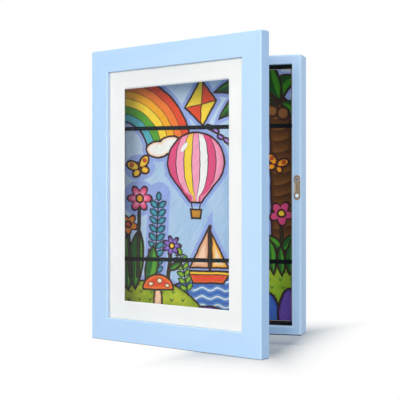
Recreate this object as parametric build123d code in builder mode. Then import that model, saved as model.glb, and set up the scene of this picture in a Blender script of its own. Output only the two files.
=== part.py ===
from build123d import *
import os

os.makedirs("parts", exist_ok=True)

# Front-opening frame for children's drawings. A shallow painted case hangs on the wall and stores
# sheets behind two elastic bands. A larger glazed door with a mat board is hinged on its left.
# Millimetres, +Z up, front towards -Y, origin in the middle of the case's back face.
# The door stands open by door_open_angle.

# Sheets and the case around them
sheet_width = 210.0
sheet_height = 297.0
sheet_side_room = 5.0
sheet_end_room = 4.0
wall_thickness = 11.0
case_depth = 28.0
case_corner_radius = 1.5
case_arris_radius = 1.2
case_rear_arris_radius = 0.6

# Back panel, the backing board in front of it and the stored sheets
panel_thickness = 3.0
panel_rebate_width = 5.0
panel_play = 0.3
panel_corner_radius = 1.0
backing_thickness = 4.0
backing_play = 0.5
paper_thickness = 0.3
paper_gap = 0.05
spare_sheet_slip = 0.8
spare_slip_shares = [(-0.7, 0.5), (0.9, -0.4), (-0.3, -0.9), (0.5, 0.8), (-1.0, 0.1)]

# Door frame, its window and the way it overlaps the case
door_overhang = 11.5
door_thickness = 14.0
door_gap = 1.0
door_open_angle = 24.5
door_corner_radius = 1.8
door_arris_radius = 1.0
door_rear_arris_radius = 0.8
rail_width = 27.0
glazing_lip_width = 5.0
glazing_lip_thickness = 4.6
glazing_play = 0.4
glazing_thickness = 1.2
mat_thickness = 1.4
mat_side_border = 23.5
mat_end_border = 21.5

# Steel tabs pushed into the rebate behind the mat board
tab_length = 10.0
tab_width = 5.0
tab_thickness = 0.5
side_tab_shares = [-0.7, 0, 0.7]
end_tab_shares = [-0.5, 0.5]

# V-shaped nails across the mitres
case_nail_leg = 4.4
case_nail_inset = 2.2
case_nail_depth = 8.0
door_nail_leg = 6.0
door_nail_inset = 9.0
door_nail_depth = 8.0
nail_thickness = 0.6

# Butt hinges: a leaf on the case, a leaf on the door, a pin between them
hinge_height = 32.0
hinge_end_inset = 35.5
leaf_width = 8.4
leaf_thickness = 1.0
leaf_corner_radius = 0.8
knuckle_radius = 1.8
knuckle_play = 0.2
knuckle_wall_gap = 0.3
barrel_room = 0.4
pin_radius = 0.8
pin_running_play = 0.05
pin_head_radius = 1.2
pin_head_height = 0.8
leaf_play = 0.2
hinge_screw_spacing = 20.0
hinge_screw_inset = 4.6
hinge_screw_head_radius = 1.9
hinge_screw_radius = 1.0
hinge_screw_length = 8.0

# Magnetic catch: keeper plate on the case, magnet in a cup on the door
plate_height = 29.0
plate_width = 7.6
plate_thickness = 1.2
plate_sink = 0.8
plate_edge_gap = 1.1
plate_rise = 8.5
plate_screw_spacing = 18.5
plate_screw_head_radius = 2.1
plate_screw_radius = 1.1
plate_screw_length = 10.0
plate_groove_width = 3.4
plate_groove_length = 9.0
plate_groove_depth = 0.4
magnet_length = 12.0
magnet_width = 4.6
magnet_thickness = 3.0
cup_wall = 0.9
bumper_radius = 3.0
bumper_thickness = 0.6
bumper_edge_radius = 0.4

# Elastic bands over the sheets, with a screw and a washer through each end
band_width = 5.0
band_thickness = 1.0
band_spacing = 161.0
band_rise = 1.5
band_tab_length = 9.0
band_bend_radius = 0.4
band_screw_radius = 1.0
band_screw_length = 7.5
band_screw_head_radius = 2.0
band_screw_head_height = 1.3
washer_radius = 2.4
washer_thickness = 0.5

# Back panel screws
panel_screw_head_radius = 1.7
panel_screw_radius = 0.9
panel_screw_length = 9.0
panel_side_screw_shares = [-0.8, 0, 0.8]
panel_end_screw_shares = [-0.6, 0.6]

# Keyhole hangers, one for each way of hanging
hanger_length = 40.0
hanger_width = 14.0
hanger_thickness = 1.2
hanger_corner_radius = 6.8
hanger_end_gap = 6.0
hanger_entry_radius = 4.0
hanger_slot_radius = 1.9
hanger_slot_reach = 8.0
hanger_room = 1.0
rivet_radius = 1.5
rivet_head_radius = 2.6
rivet_head_height = 0.6
rivet_end_inset = 4.0

# Countersunk heads and the cross recess in every screw head
countersink_angle = 90.0
recess_reach_share = 0.65
recess_width_share = 0.3
recess_depth_share = 0.45

# Sizes that follow
case_inside_width = sheet_width + 2 * sheet_side_room
case_inside_height = sheet_height + 2 * sheet_end_room
case_width = case_inside_width + 2 * wall_thickness
case_height = case_inside_height + 2 * wall_thickness
panel_rebate_across = case_inside_width + 2 * panel_rebate_width
panel_rebate_up = case_inside_height + 2 * panel_rebate_width
door_width = case_width + 2 * door_overhang
door_height = case_height + 2 * door_overhang
sight_width = door_width - 2 * rail_width
sight_height = door_height - 2 * rail_width
glazing_rebate_width = sight_width + 2 * glazing_lip_width
glazing_rebate_height = sight_height + 2 * glazing_lip_width
glazing_width = glazing_rebate_width - 2 * glazing_play
glazing_height = glazing_rebate_height - 2 * glazing_play
mat_opening_width = sight_width - 2 * mat_side_border
mat_opening_height = sight_height - 2 * mat_end_border
spare_count = len(spare_slip_shares)
backing_front = panel_thickness + backing_thickness
paper_step = paper_thickness + paper_gap
drawing_back = backing_front + spare_count * paper_step
drawing_front = drawing_back + paper_thickness
glazing_back = door_thickness - glazing_lip_thickness - glazing_thickness
mat_back = glazing_back - mat_thickness
hanger_inset = hanger_length / 2 + hanger_end_gap
rivet_spacing = hanger_length - 2 * rivet_end_inset

# The hinge axis stands just outside the case's left side, halfway across the door gap
pin_offset = knuckle_radius + knuckle_wall_gap
pin_x = -case_width / 2 - pin_offset
pin_y = -case_depth - door_gap / 2
pin_to_door_middle = door_width / 2 - door_overhang + pin_offset
leaf_reach = pin_offset + leaf_width

# Planes: X across, Y up, Z towards the front of the case or of the door
case_back = Plane(origin=(0, 0, 0), x_dir=(1, 0, 0), z_dir=(0, -1, 0))
case_front = case_back.offset(case_depth)
closed_middle = Plane(origin=(pin_x, pin_y, 0), x_dir=(1, 0, 0), z_dir=(0, -1, 0))
door_hinge_plane = closed_middle.rotated((0, 0, -door_open_angle))
door_back = Plane(
    door_hinge_plane.from_local_coords((pin_to_door_middle, 0, door_gap / 2)),
    x_dir=door_hinge_plane.x_dir,
    z_dir=door_hinge_plane.z_dir,
)
door_out = Axis(door_back.origin, door_back.z_dir)


def keep(piece, name):
    piece.part.label = name
    export_step(piece.part, f"parts/{name}.step")


# A plane moved to a spot of its own X and Y, and lifted along its Z
def spot(base, x, y, lift=0):
    return Plane(base.from_local_coords((x, y, lift)), x_dir=base.x_dir, z_dir=base.z_dir)


# The same spot, facing the other way
def behind(base, x, y, lift=0):
    return Plane(base.from_local_coords((x, y, lift)), x_dir=base.x_dir, z_dir=-base.z_dir)


# Outlines of the four mitred sides of a rectangular frame
def mitred_sides(width, height, side):
    x, y = width / 2, height / 2
    return {
        "left": [(-x, -y), (side - x, side - y), (side - x, y - side), (-x, y)],
        "right": [(x, -y), (x, y), (x - side, y - side), (x - side, side - y)],
        "top": [(-x, y), (side - x, y - side), (x - side, y - side), (x, y)],
        "bottom": [(-x, -y), (x, -y), (x - side, side - y), (side - x, side - y)],
    }


# Countersunk wood screw with a pointed tip, its head flush at Z = 0 and its tip down
def countersunk_screw(head_radius, shank_radius, length):
    with BuildPart() as screw:
        with BuildSketch(Plane.XZ):
            with BuildLine():
                Polyline(
                    (0, 0),
                    (head_radius, 0),
                    (shank_radius, shank_radius - head_radius),
                    (shank_radius, 2 * shank_radius - length),
                    (0, -length),
                    close=True,
                )
            make_face()
        revolve(axis=Axis.Z)
        with BuildSketch():
            reach = 2 * head_radius * recess_reach_share
            width = head_radius * recess_width_share
            Rectangle(reach, width)
            Rectangle(width, reach)
        extrude(amount=-head_radius * recess_depth_share, mode=Mode.SUBTRACT)
    return screw.part


# Copies of one piece at a list of planes, as one group of solids
def group_at(piece, planes):
    with BuildPart() as group:
        with Locations(*planes):
            add(piece)
    return group


# L outline of a V-nail at each corner of a rectangle, its legs along the two sides
def nail_outlines(width, height, inset, leg):
    middle = inset + leg / 2
    thick_middle = inset + nail_thickness / 2
    x, y = width / 2, height / 2
    for across in (-1, 1):
        for up in (-1, 1):
            with Locations((across * (x - middle), up * (y - thick_middle))):
                Rectangle(leg, nail_thickness)
            with Locations((across * (x - thick_middle), up * (y - middle))):
                Rectangle(nail_thickness, leg)


# Steel tabs across the edge of the glazing rebate
def tab_outlines():
    side_x = glazing_rebate_width / 2
    end_y = glazing_rebate_height / 2
    with Locations(*[(s * side_x, k * end_y) for s in (-1, 1) for k in side_tab_shares]):
        Rectangle(tab_length, tab_width)
    with Locations(*[(k * side_x, s * end_y) for s in (-1, 1) for k in end_tab_shares]):
        Rectangle(tab_width, tab_length)


# Keyhole: a round entry below and a narrow slot up to the bearing point
def keyhole_outline():
    Circle(hanger_entry_radius)
    with Locations((0, hanger_slot_reach / 2)):
        Rectangle(2 * hanger_slot_radius, hanger_slot_reach)
    with Locations((0, hanger_slot_reach)):
        Circle(hanger_slot_radius)


# Places of the fasteners
hinge_offset = (case_height - hinge_height) / 2 - hinge_end_inset
hinge_heights = {"upper": hinge_offset, "lower": -hinge_offset}
case_leaf_screws = {}
door_leaf_screws = {}
pin_on_door_x = -pin_to_door_middle
for name, height in hinge_heights.items():
    rises = (height - hinge_screw_spacing / 2, height + hinge_screw_spacing / 2)
    case_x = -case_width / 2 + hinge_screw_inset
    door_x = pin_on_door_x + pin_offset + hinge_screw_inset
    case_leaf_screws[name] = [spot(case_front, case_x, rise) for rise in rises]
    door_leaf_screws[name] = [behind(door_back, door_x, rise) for rise in rises]
plate_x = case_width / 2 - plate_edge_gap - plate_width / 2
plate_proud = plate_thickness - plate_sink
plate_screws = [
    spot(case_front, plate_x, plate_rise + s * plate_screw_spacing / 2, plate_proud) for s in (-1, 1)
]
band_heights = {"upper": band_rise + band_spacing / 2, "lower": band_rise - band_spacing / 2}
band_screw_lift = drawing_front + band_tab_length / 2
band_screws = {name: [] for name in band_heights}
for name, height in band_heights.items():
    for across in (-1, 1):
        inner_face = across * case_inside_width / 2
        wall_spot = case_back.from_local_coords((inner_face, height, band_screw_lift))
        band_screws[name].append(Plane(wall_spot, x_dir=(0, 0, 1), z_dir=(-across, 0, 0)))
all_band_screws = band_screws["upper"] + band_screws["lower"]
panel_screw_x = (case_inside_width + panel_rebate_width) / 2
panel_screw_y = (case_inside_height + panel_rebate_width) / 2
panel_screw_spots = []
for way in (-1, 1):
    panel_screw_spots += [(way * panel_screw_x, k * panel_screw_y) for k in panel_side_screw_shares]
    panel_screw_spots += [(k * panel_screw_x, way * panel_screw_y) for k in panel_end_screw_shares]
panel_screws = [behind(case_back, x, y) for x, y in panel_screw_spots]
portrait_hanger = spot(case_back, 0, case_inside_height / 2 - hanger_inset)
landscape_spot = spot(case_back, hanger_inset - case_inside_width / 2, 0)
landscape_hanger = Plane(landscape_spot.origin, x_dir=(0, 0, 1), z_dir=case_back.z_dir)
hangers = {"portrait": portrait_hanger, "landscape": landscape_hanger}

# Case walls: one frame with its rebate and pockets, sawn into four along the mitres
with BuildPart() as case_frame:
    with BuildSketch(case_back):
        RectangleRounded(case_width, case_height, case_corner_radius)
        Rectangle(case_inside_width, case_inside_height, mode=Mode.SUBTRACT)
    extrude(amount=case_depth)
    fillet(case_frame.faces().sort_by(Axis.Y)[0].edges(), case_arris_radius)
    fillet(case_frame.faces().sort_by(Axis.Y)[-1].outer_wire().edges(), case_rear_arris_radius)
    with BuildSketch(case_back):
        Rectangle(panel_rebate_across, panel_rebate_up)
    extrude(amount=panel_thickness, mode=Mode.SUBTRACT)
    with BuildSketch(case_back):
        nail_outlines(case_width, case_height, case_nail_inset, case_nail_leg)
    extrude(amount=case_nail_depth, mode=Mode.SUBTRACT)
    with BuildSketch(case_front.offset(-leaf_thickness)):
        for height in hinge_heights.values():
            with Locations((pin_x + leaf_reach / 2, height)):
                Rectangle(leaf_reach + 2 * leaf_play, hinge_height + 2 * leaf_play)
    extrude(amount=case_depth, mode=Mode.SUBTRACT)
    with BuildSketch(case_front.offset(-plate_sink)):
        with Locations((plate_x, plate_rise)):
            SlotOverall(plate_height, plate_width, rotation=90)
    extrude(amount=plate_thickness, mode=Mode.SUBTRACT)
    with Locations(*case_leaf_screws["upper"], *case_leaf_screws["lower"]):
        Hole(hinge_screw_radius, depth=hinge_screw_length)
    with Locations(*plate_screws):
        CounterSinkHole(plate_screw_radius, plate_screw_head_radius, plate_screw_length, countersink_angle)
    with Locations(*all_band_screws):
        Hole(band_screw_radius, depth=band_screw_length)
    with Locations(*panel_screws):
        Hole(panel_screw_radius, depth=panel_screw_length)

for side, corners in mitred_sides(case_width, case_height, wall_thickness).items():
    with BuildPart() as case_wall:
        add(case_frame.part)
        with BuildSketch(case_back):
            Polygon(*corners, align=None)
        extrude(amount=case_depth, mode=Mode.INTERSECT)
    keep(case_wall, f"case_{side}_wall")

with BuildPart() as case_corner_nails:
    with BuildSketch(case_back):
        nail_outlines(case_width, case_height, case_nail_inset, case_nail_leg)
    extrude(amount=case_nail_depth)
keep(case_corner_nails, "case_corner_nails")

# Back panel, flush with the walls, cut out for the hangers
with BuildPart() as back_panel:
    with BuildSketch(case_back):
        panel_across = panel_rebate_across - 2 * panel_play
        panel_up = panel_rebate_up - 2 * panel_play
        RectangleRounded(panel_across, panel_up, panel_corner_radius)
    extrude(amount=panel_thickness)
    for place in hangers.values():
        with BuildSketch(place):
            RectangleRounded(hanger_width, hanger_length, hanger_corner_radius)
        extrude(amount=hanger_thickness, mode=Mode.SUBTRACT)
        with BuildSketch(place):
            with Locations((0, hanger_slot_reach / 2)):
                SlotCenterToCenter(hanger_slot_reach, 2 * (hanger_entry_radius + hanger_room), rotation=90)
            with Locations((0, -rivet_spacing / 2), (0, rivet_spacing / 2)):
                Circle(rivet_radius)
        extrude(amount=panel_thickness, mode=Mode.SUBTRACT)
    with Locations(*panel_screws):
        CounterSinkHole(panel_screw_radius, panel_screw_head_radius, panel_thickness, countersink_angle)
keep(back_panel, "back_panel")

with BuildPart() as back_panel_screws:
    with Locations(*panel_screws):
        add(countersunk_screw(panel_screw_head_radius, panel_screw_radius, panel_screw_length))
keep(back_panel_screws, "back_panel_screws")

# Hanger plates, flush in the panel, and the rivets that hold them
for name, place in hangers.items():
    with BuildPart() as hanger_plate:
        with BuildSketch(place):
            RectangleRounded(hanger_width, hanger_length, hanger_corner_radius)
            with Locations((0, -rivet_spacing / 2), (0, rivet_spacing / 2)):
                Circle(rivet_radius, mode=Mode.SUBTRACT)
        extrude(amount=hanger_thickness)
        with BuildSketch(place):
            keyhole_outline()
        extrude(amount=hanger_thickness, mode=Mode.SUBTRACT)
    keep(hanger_plate, f"{name}_hanger_plate")

with BuildPart() as hanger_rivets:
    for place in hangers.values():
        with BuildSketch(place):
            with Locations((0, -rivet_spacing / 2), (0, rivet_spacing / 2)):
                Circle(rivet_radius)
        extrude(amount=panel_thickness)
        with BuildSketch(place.offset(panel_thickness)):
            with Locations((0, -rivet_spacing / 2), (0, rivet_spacing / 2)):
                Circle(rivet_head_radius)
        extrude(amount=rivet_head_height)
keep(hanger_rivets, "hanger_rivets")

# Backing board with room for the hangers' nail heads and rivets, then the stored sheets
with BuildPart() as backing_board:
    with BuildSketch(case_back.offset(panel_thickness)):
        Rectangle(case_inside_width - 2 * backing_play, case_inside_height - 2 * backing_play)
    extrude(amount=backing_thickness)
    for place in hangers.values():
        with BuildSketch(place.offset(panel_thickness)):
            SlotOverall(hanger_length, hanger_width, rotation=90)
        extrude(amount=backing_thickness, mode=Mode.SUBTRACT)
keep(backing_board, "backing_board")

with BuildPart() as spare_sheets:
    for order, (across, up) in enumerate(spare_slip_shares):
        with BuildSketch(case_back.offset(backing_front + order * paper_step)):
            with Locations((across * spare_sheet_slip, up * spare_sheet_slip)):
                Rectangle(sheet_width, sheet_height)
        extrude(amount=paper_thickness)
keep(spare_sheets, "spare_sheets")

with BuildPart() as drawing_sheet:
    with BuildSketch(case_back.offset(drawing_back)):
        Rectangle(sheet_width, sheet_height)
    extrude(amount=paper_thickness)
keep(drawing_sheet, "drawing_sheet")

# Elastic bands: straight across the sheets, each end folded forward along the wall
for name, height in band_heights.items():
    with BuildPart() as elastic_band:
        with BuildSketch(Plane.XY.offset(height - band_width / 2)):
            with Locations((0, -drawing_front - band_tab_length / 2)):
                Rectangle(case_inside_width, band_tab_length)
            with Locations((0, -drawing_front - band_thickness - band_tab_length / 2)):
                Rectangle(case_inside_width - 2 * band_thickness, band_tab_length, mode=Mode.SUBTRACT)
        extrude(amount=band_width)
        upright = elastic_band.edges().filter_by(Axis.Z)
        bends = upright.group_by(Axis.Y)[-1] + upright.group_by(Axis.Y)[-2]
        fillet(bends, band_bend_radius)
        with Locations(*[place.offset(band_thickness) for place in band_screws[name]]):
            Hole(band_screw_radius, depth=band_thickness)
    keep(elastic_band, f"{name}_elastic_band")

with BuildPart() as one_washer:
    with BuildSketch(Plane.XY.offset(band_thickness)):
        Circle(washer_radius)
        Circle(band_screw_radius, mode=Mode.SUBTRACT)
    extrude(amount=washer_thickness)
keep(group_at(one_washer.part, all_band_screws), "band_washers")

head_lift = band_thickness + washer_thickness
tip_start = 2 * band_screw_radius - band_screw_length
with BuildPart() as one_band_screw:
    with BuildSketch(Plane.XZ):
        with BuildLine():
            EllipticalCenterArc((0, head_lift), band_screw_head_radius, band_screw_head_height, arc_size=90)
            Polyline(
                (band_screw_head_radius, head_lift),
                (band_screw_radius, head_lift),
                (band_screw_radius, tip_start),
                (0, -band_screw_length),
                (0, head_lift + band_screw_head_height),
            )
        make_face()
    revolve(axis=Axis.Z)
    with BuildSketch(Plane.XY.offset(head_lift + band_screw_head_height)):
        cross_reach = 2 * band_screw_head_radius * recess_reach_share
        cross_width = band_screw_head_radius * recess_width_share
        Rectangle(cross_reach, cross_width)
        Rectangle(cross_width, cross_reach)
    extrude(amount=-band_screw_head_height * recess_reach_share, mode=Mode.SUBTRACT)
keep(group_at(one_band_screw.part, all_band_screws), "band_screws")

# Catch on the case: a keeper plate let into the right wall, with two screws
with BuildPart() as catch_plate:
    with BuildSketch(case_front.offset(-plate_sink)):
        with Locations((plate_x, plate_rise)):
            SlotOverall(plate_height, plate_width, rotation=90)
    extrude(amount=plate_thickness)
    with BuildSketch(case_front.offset(plate_proud)):
        with Locations((plate_x, plate_rise)):
            Rectangle(plate_groove_width, plate_groove_length)
    extrude(amount=-plate_groove_depth, mode=Mode.SUBTRACT)
    with Locations(*plate_screws):
        CounterSinkHole(plate_screw_radius, plate_screw_head_radius, plate_thickness, countersink_angle)
keep(catch_plate, "catch_plate")

catch_screw = countersunk_screw(plate_screw_head_radius, plate_screw_radius, plate_screw_length)
keep(group_at(catch_screw, plate_screws), "catch_plate_screws")

# Door frame: one frame with its rebate and pockets, sawn into four along the mitres
pocket_width = 2 * (knuckle_radius + barrel_room)
pocket_depth = knuckle_radius - door_gap / 2 + barrel_room
pin_length = hinge_height + 2 * pin_head_height
cup_length = magnet_length + 2 * cup_wall
cup_width = magnet_width + 2 * cup_wall
cup_depth = magnet_thickness + cup_wall
with BuildPart() as door_frame:
    with BuildSketch(door_back):
        RectangleRounded(door_width, door_height, door_corner_radius)
        Rectangle(sight_width, sight_height, mode=Mode.SUBTRACT)
    extrude(amount=door_thickness)
    fillet(door_frame.faces().sort_by(door_out)[-1].edges(), door_arris_radius)
    fillet(door_frame.faces().sort_by(door_out)[0].outer_wire().edges(), door_rear_arris_radius)
    with BuildSketch(door_back):
        Rectangle(glazing_rebate_width, glazing_rebate_height)
    extrude(amount=door_thickness - glazing_lip_thickness, mode=Mode.SUBTRACT)
    with BuildSketch(door_back):
        nail_outlines(door_width, door_height, door_nail_inset, door_nail_leg)
    extrude(amount=door_nail_depth, mode=Mode.SUBTRACT)
    with BuildSketch(door_back.offset(mat_back - tab_thickness)):
        tab_outlines()
    extrude(amount=tab_thickness, mode=Mode.SUBTRACT)
    with BuildSketch(door_back):
        for height in hinge_heights.values():
            with Locations((pin_on_door_x + leaf_reach / 2, height)):
                Rectangle(leaf_reach + 2 * leaf_play, hinge_height + 2 * leaf_play)
    extrude(amount=leaf_thickness, mode=Mode.SUBTRACT)
    with BuildSketch(door_back):
        for height in hinge_heights.values():
            with Locations((pin_on_door_x, height)):
                Rectangle(pocket_width, pin_length + 2 * barrel_room)
    extrude(amount=pocket_depth, mode=Mode.SUBTRACT)
    with BuildSketch(door_back):
        with Locations((plate_x, plate_rise)):
            Rectangle(cup_width, cup_length)
    extrude(amount=cup_depth, mode=Mode.SUBTRACT)
    with Locations(*door_leaf_screws["upper"], *door_leaf_screws["lower"]):
        Hole(hinge_screw_radius, depth=hinge_screw_length)

for side, corners in mitred_sides(door_width, door_height, rail_width).items():
    with BuildPart() as door_rail:
        add(door_frame.part)
        with BuildSketch(door_back):
            Polygon(*corners, align=None)
        extrude(amount=door_thickness, mode=Mode.INTERSECT)
    keep(door_rail, f"door_{side}_rail")

with BuildPart() as door_corner_nails:
    with BuildSketch(door_back):
        nail_outlines(door_width, door_height, door_nail_inset, door_nail_leg)
    extrude(amount=door_nail_depth)
keep(door_corner_nails, "door_corner_nails")

# Glazing and the bevelled mat board behind it, held by the tabs
with BuildPart() as glazing:
    with BuildSketch(door_back.offset(glazing_back)):
        Rectangle(glazing_width, glazing_height)
    extrude(amount=glazing_thickness)
keep(glazing, "glazing")

with BuildPart() as mat_board:
    with BuildSketch(door_back.offset(mat_back)):
        Rectangle(glazing_width, glazing_height)
    extrude(amount=mat_thickness)
    with BuildSketch(door_back.offset(mat_back)):
        Rectangle(mat_opening_width, mat_opening_height)
    with BuildSketch(door_back.offset(glazing_back)):
        Rectangle(mat_opening_width + 2 * mat_thickness, mat_opening_height + 2 * mat_thickness)
    loft(mode=Mode.SUBTRACT)
keep(mat_board, "mat_board")

with BuildPart() as mat_tabs:
    with BuildSketch(door_back.offset(mat_back - tab_thickness)):
        tab_outlines()
    extrude(amount=tab_thickness)
keep(mat_tabs, "mat_tabs")

# Catch on the door: a bar magnet in a steel cup, flush with the back of the right rail
with BuildPart() as magnet_cup:
    with BuildSketch(door_back):
        with Locations((plate_x, plate_rise)):
            Rectangle(cup_width, cup_length)
    extrude(amount=cup_depth)
    with BuildSketch(door_back):
        with Locations((plate_x, plate_rise)):
            Rectangle(magnet_width, magnet_length)
    extrude(amount=magnet_thickness, mode=Mode.SUBTRACT)
keep(magnet_cup, "magnet_cup")

with BuildPart() as catch_magnet:
    with BuildSketch(door_back):
        with Locations((plate_x, plate_rise)):
            Rectangle(magnet_width, magnet_length)
    extrude(amount=magnet_thickness)
keep(catch_magnet, "catch_magnet")

with BuildPart() as door_bumpers:
    with BuildSketch(door_back):
        bumper_x = (case_width - wall_thickness) / 2
        bumper_y = (case_height - wall_thickness) / 2
        with Locations((bumper_x, -bumper_y), (bumper_x, bumper_y)):
            Circle(bumper_radius)
    extrude(amount=-bumper_thickness)
    landing_rims = door_bumpers.faces().sort_by(door_out)[:2].edges()
    fillet(landing_rims, bumper_edge_radius)
keep(door_bumpers, "door_bumpers")

# Hinges. Each leaf has its plate across X and its knuckles about Y, Z towards the other leaf
knuckle_length = (hinge_height - 2 * knuckle_play) / 3
knuckle_step = knuckle_length + knuckle_play
outer_knuckles = (-knuckle_step, knuckle_step)
middle_knuckle = (0,)


def hinge_leaf(base, knuckles, other_knuckles, bore_radius):
    leaf_face = base.offset(-door_gap / 2)
    screw_x = pin_offset + hinge_screw_inset
    screw_y = hinge_screw_spacing / 2
    across = Axis(base.origin, base.x_dir)
    through = Axis(base.origin, base.z_dir)
    with BuildPart() as leaf:
        with BuildSketch(leaf_face):
            with Locations((leaf_reach / 2, 0)):
                Rectangle(leaf_reach, hinge_height)
            with Locations(*[(0, rise) for rise in other_knuckles]):
                notch_reach = knuckle_radius + knuckle_play
                Rectangle(2 * notch_reach, knuckle_length + 2 * knuckle_play, mode=Mode.SUBTRACT)
        extrude(amount=-leaf_thickness)
        fillet(leaf.edges().filter_by(through).sort_by(across)[-2:], leaf_corner_radius)
        for rise in knuckles:
            barrel_end = base.from_local_coords((0, rise - knuckle_length / 2, 0))
            with BuildSketch(Plane(barrel_end, x_dir=base.x_dir, z_dir=base.y_dir)):
                Circle(knuckle_radius)
            extrude(amount=knuckle_length)
        hinge_foot = base.from_local_coords((0, -hinge_height / 2, 0))
        with BuildSketch(Plane(hinge_foot, x_dir=base.x_dir, z_dir=base.y_dir)):
            Circle(bore_radius)
        extrude(amount=hinge_height, mode=Mode.SUBTRACT)
        with Locations(spot(leaf_face, screw_x, -screw_y), spot(leaf_face, screw_x, screw_y)):
            CounterSinkHole(hinge_screw_radius, hinge_screw_head_radius, leaf_thickness, countersink_angle)
    return leaf


hinge_screw = countersunk_screw(hinge_screw_head_radius, hinge_screw_radius, hinge_screw_length)
for name, height in hinge_heights.items():
    on_case = spot(closed_middle, 0, height)
    on_door = behind(door_hinge_plane, 0, height)
    keep(hinge_leaf(on_case, outer_knuckles, middle_knuckle, pin_radius), f"{name}_hinge_case_leaf")
    keep(
        hinge_leaf(on_door, middle_knuckle, outer_knuckles, pin_radius + pin_running_play),
        f"{name}_hinge_door_leaf",
    )
    keep(group_at(hinge_screw, case_leaf_screws[name]), f"{name}_hinge_case_screws")
    keep(group_at(hinge_screw, door_leaf_screws[name]), f"{name}_hinge_door_screws")
    with BuildPart() as hinge_pin:
        with BuildSketch(Plane.XY.offset(height - hinge_height / 2)):
            with Locations((pin_x, pin_y)):
                Circle(pin_radius)
        extrude(amount=hinge_height)
        for end, way in ((height - hinge_height / 2, -1), (height + hinge_height / 2, 1)):
            with BuildSketch(Plane.XY.offset(end)):
                with Locations((pin_x, pin_y)):
                    Circle(pin_head_radius)
            extrude(amount=way * pin_head_height)
    keep(hinge_pin, f"{name}_hinge_pin")
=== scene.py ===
import math
from functools import partial

import bmesh
import bpy
from mathutils import Matrix, Vector


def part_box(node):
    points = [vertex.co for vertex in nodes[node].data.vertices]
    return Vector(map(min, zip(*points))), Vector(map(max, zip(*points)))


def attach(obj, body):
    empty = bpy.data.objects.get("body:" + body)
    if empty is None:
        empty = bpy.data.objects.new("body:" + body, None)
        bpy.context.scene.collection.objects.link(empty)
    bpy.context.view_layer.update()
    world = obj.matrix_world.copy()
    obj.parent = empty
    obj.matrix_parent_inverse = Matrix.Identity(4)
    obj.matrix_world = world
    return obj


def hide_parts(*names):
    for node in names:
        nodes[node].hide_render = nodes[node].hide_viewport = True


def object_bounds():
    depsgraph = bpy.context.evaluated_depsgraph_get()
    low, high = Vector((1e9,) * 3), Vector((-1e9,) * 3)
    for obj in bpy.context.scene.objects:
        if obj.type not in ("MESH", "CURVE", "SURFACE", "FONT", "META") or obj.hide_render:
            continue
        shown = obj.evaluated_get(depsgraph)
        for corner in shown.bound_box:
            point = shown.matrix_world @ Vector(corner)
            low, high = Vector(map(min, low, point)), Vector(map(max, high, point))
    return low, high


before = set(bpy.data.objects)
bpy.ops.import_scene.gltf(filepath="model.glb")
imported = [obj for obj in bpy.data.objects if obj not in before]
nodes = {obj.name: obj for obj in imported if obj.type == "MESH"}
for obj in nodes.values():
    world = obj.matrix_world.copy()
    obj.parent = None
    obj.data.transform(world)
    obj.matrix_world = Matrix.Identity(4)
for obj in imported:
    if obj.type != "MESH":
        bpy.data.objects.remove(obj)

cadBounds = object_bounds()
scene = bpy.context.scene
print("frame loaded:", len(nodes), "nodes")


# Small helpers for node trees

def tone(red, green, blue):
    # a colour as picked on screen, made linear for a shader socket
    linear = []
    for value in (red, green, blue):
        share = value / 255
        linear.append(share / 12.92 if share <= 0.04045 else ((share + 0.055) / 1.055) ** 2.4)
    return (*linear, 1.0)


def isSocket(value):
    return isinstance(value, bpy.types.NodeSocket)


def join(value, socket):
    if isSocket(value):
        socket.id_data.links.new(value, socket)
    else:
        socket.default_value = value


def add(tree, kind, inputs=None, **settings):
    node = tree.nodes.new(kind)
    for key, value in settings.items():
        setattr(node, key, value)
    for key, value in (inputs or {}).items():
        join(value, node.inputs[key])
    return node


def beside(values, kind, inputs, **settings):
    # a node in the tree that the first socket among some values belongs to
    tree = next(value.id_data for value in values if isSocket(value))
    return add(tree, kind, inputs, **settings).outputs


def maths(operation, *values):
    return beside(values, "ShaderNodeMath", dict(enumerate(values)), operation=operation)[0]


def vectors(operation, *values):
    outputs = beside(values, "ShaderNodeVectorMath", dict(enumerate(values)), operation=operation)
    return outputs["Value" if operation in ("LENGTH", "DOT_PRODUCT", "DISTANCE") else "Vector"]


plus, minus = partial(maths, "ADD"), partial(maths, "SUBTRACT")
times, over = partial(maths, "MULTIPLY"), partial(maths, "DIVIDE")
timesPlus, modulo = partial(maths, "MULTIPLY_ADD"), partial(maths, "FLOORED_MODULO")
most, least = partial(maths, "MAXIMUM"), partial(maths, "MINIMUM")
absolute, sine = partial(maths, "ABSOLUTE"), partial(maths, "SINE")
apart, dot = partial(vectors, "SUBTRACT"), partial(vectors, "DOT_PRODUCT")
lengthOf, distanceOf = partial(vectors, "LENGTH"), partial(vectors, "DISTANCE")


def part(vector, axis):
    # one coordinate of a vector; Separate XYZ would hold its unused outputs in a long shader
    return dot(vector, tuple(float(axis == place) for place in range(3)))


def pair(across, upward=0.0):
    return beside((across, upward), "ShaderNodeCombineXYZ", {0: across, 1: upward})[0]


def clamped(value, low=0.0, high=1.0):
    # a node's own clamp is worked out last, which fills the stack of a long shader
    return most(least(value, high), low)


def slope(value, low, high, toLow=0.0, toHigh=1.0):
    # a straight change that runs on past both ends; a mix factor clamps it
    rise = (toHigh - toLow) / (high - low)
    return timesPlus(value, rise, toLow - low * rise)


def span(value, low, high, toLow=0.0, toHigh=1.0):
    changed = slope(value, low, high, toLow, toHigh)
    return clamped(changed, min(toLow, toHigh), max(toLow, toHigh))


def blendColours(factor, first, second, way="MIX"):
    return beside((factor, first, second), "ShaderNodeMix", {0: factor, 6: first, 7: second},
                  data_type="RGBA", blend_type=way)[2]


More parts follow.
